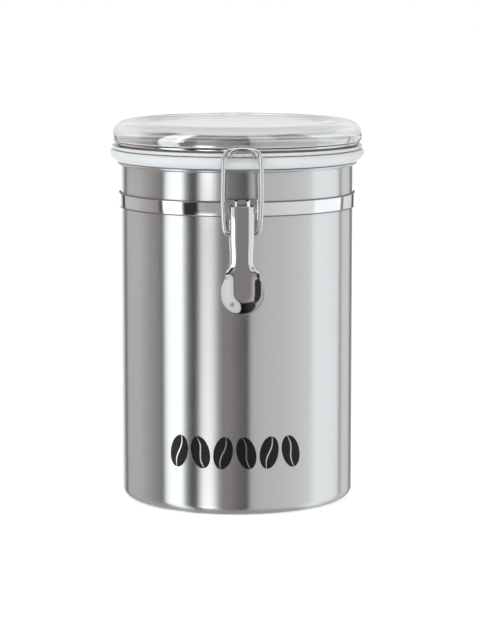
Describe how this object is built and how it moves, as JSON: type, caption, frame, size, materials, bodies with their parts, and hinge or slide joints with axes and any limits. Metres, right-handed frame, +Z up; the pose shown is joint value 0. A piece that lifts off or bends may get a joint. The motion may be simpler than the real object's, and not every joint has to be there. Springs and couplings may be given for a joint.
{
  "type": "food canister",
  "caption": "Brushed steel food storage canister with a clear hinged lid, a soft gasket and a wire-bail clamp latch.",
  "frame": {"origin": "centre of the flat underside of the base, on the surface it stands on", "axes": "+Z up along the canister's axis, -Y towards the latch, +Y towards the lid's hinge, +X to the right seen from the front"},
  "size_m": [0.1278, 0.1422, 0.1905],
  "materials": {
    "brushed_body": "satin, brushed round the body",
    "polished_steel": "mirror polished",
    "clear_lid": "clear and glossy",
    "gasket": "translucent white, satin"
  },
  "bodies": {
    "canister": {"canister_body": "brushed_body", "clamp_band": "polished_steel", "latch_bracket": "polished_steel", "lever_pivot_pin": "polished_steel", "rear_hinge_bracket": "polished_steel", "rear_hinge_wire": "polished_steel"},
    "lid": {"lid_shell": "clear_lid", "lid_gasket": "gasket", "lid_ring_wire": "polished_steel"},
    "lever": {"latch_lever": "polished_steel"},
    "bail": {"latch_bail": "polished_steel"}
  },
  "joints": [
    {"name": "lid_hinge", "type": "hinge", "parent": "canister", "child": "lid", "pos_m": [0, 0.0685, 0.17735], "axis": [-1, 0, 0], "range_deg": [0, 110]},
    {"name": "lever_pivot", "type": "hinge", "parent": "canister", "child": "lever", "pos_m": [0, -0.0645, 0.1511], "axis": [-1, 0, 0], "range_deg": [0, 100]},
    {"name": "bail_pivot", "type": "hinge", "parent": "lever", "child": "bail", "pos_m": [0, -0.0629, 0.1398], "axis": [-1, 0, 0], "range_deg": [-150, 0]}
  ],
  "couplings": [
    {"joint": "bail_pivot", "follows": "lever_pivot", "ratio": -1.5}
  ]
}
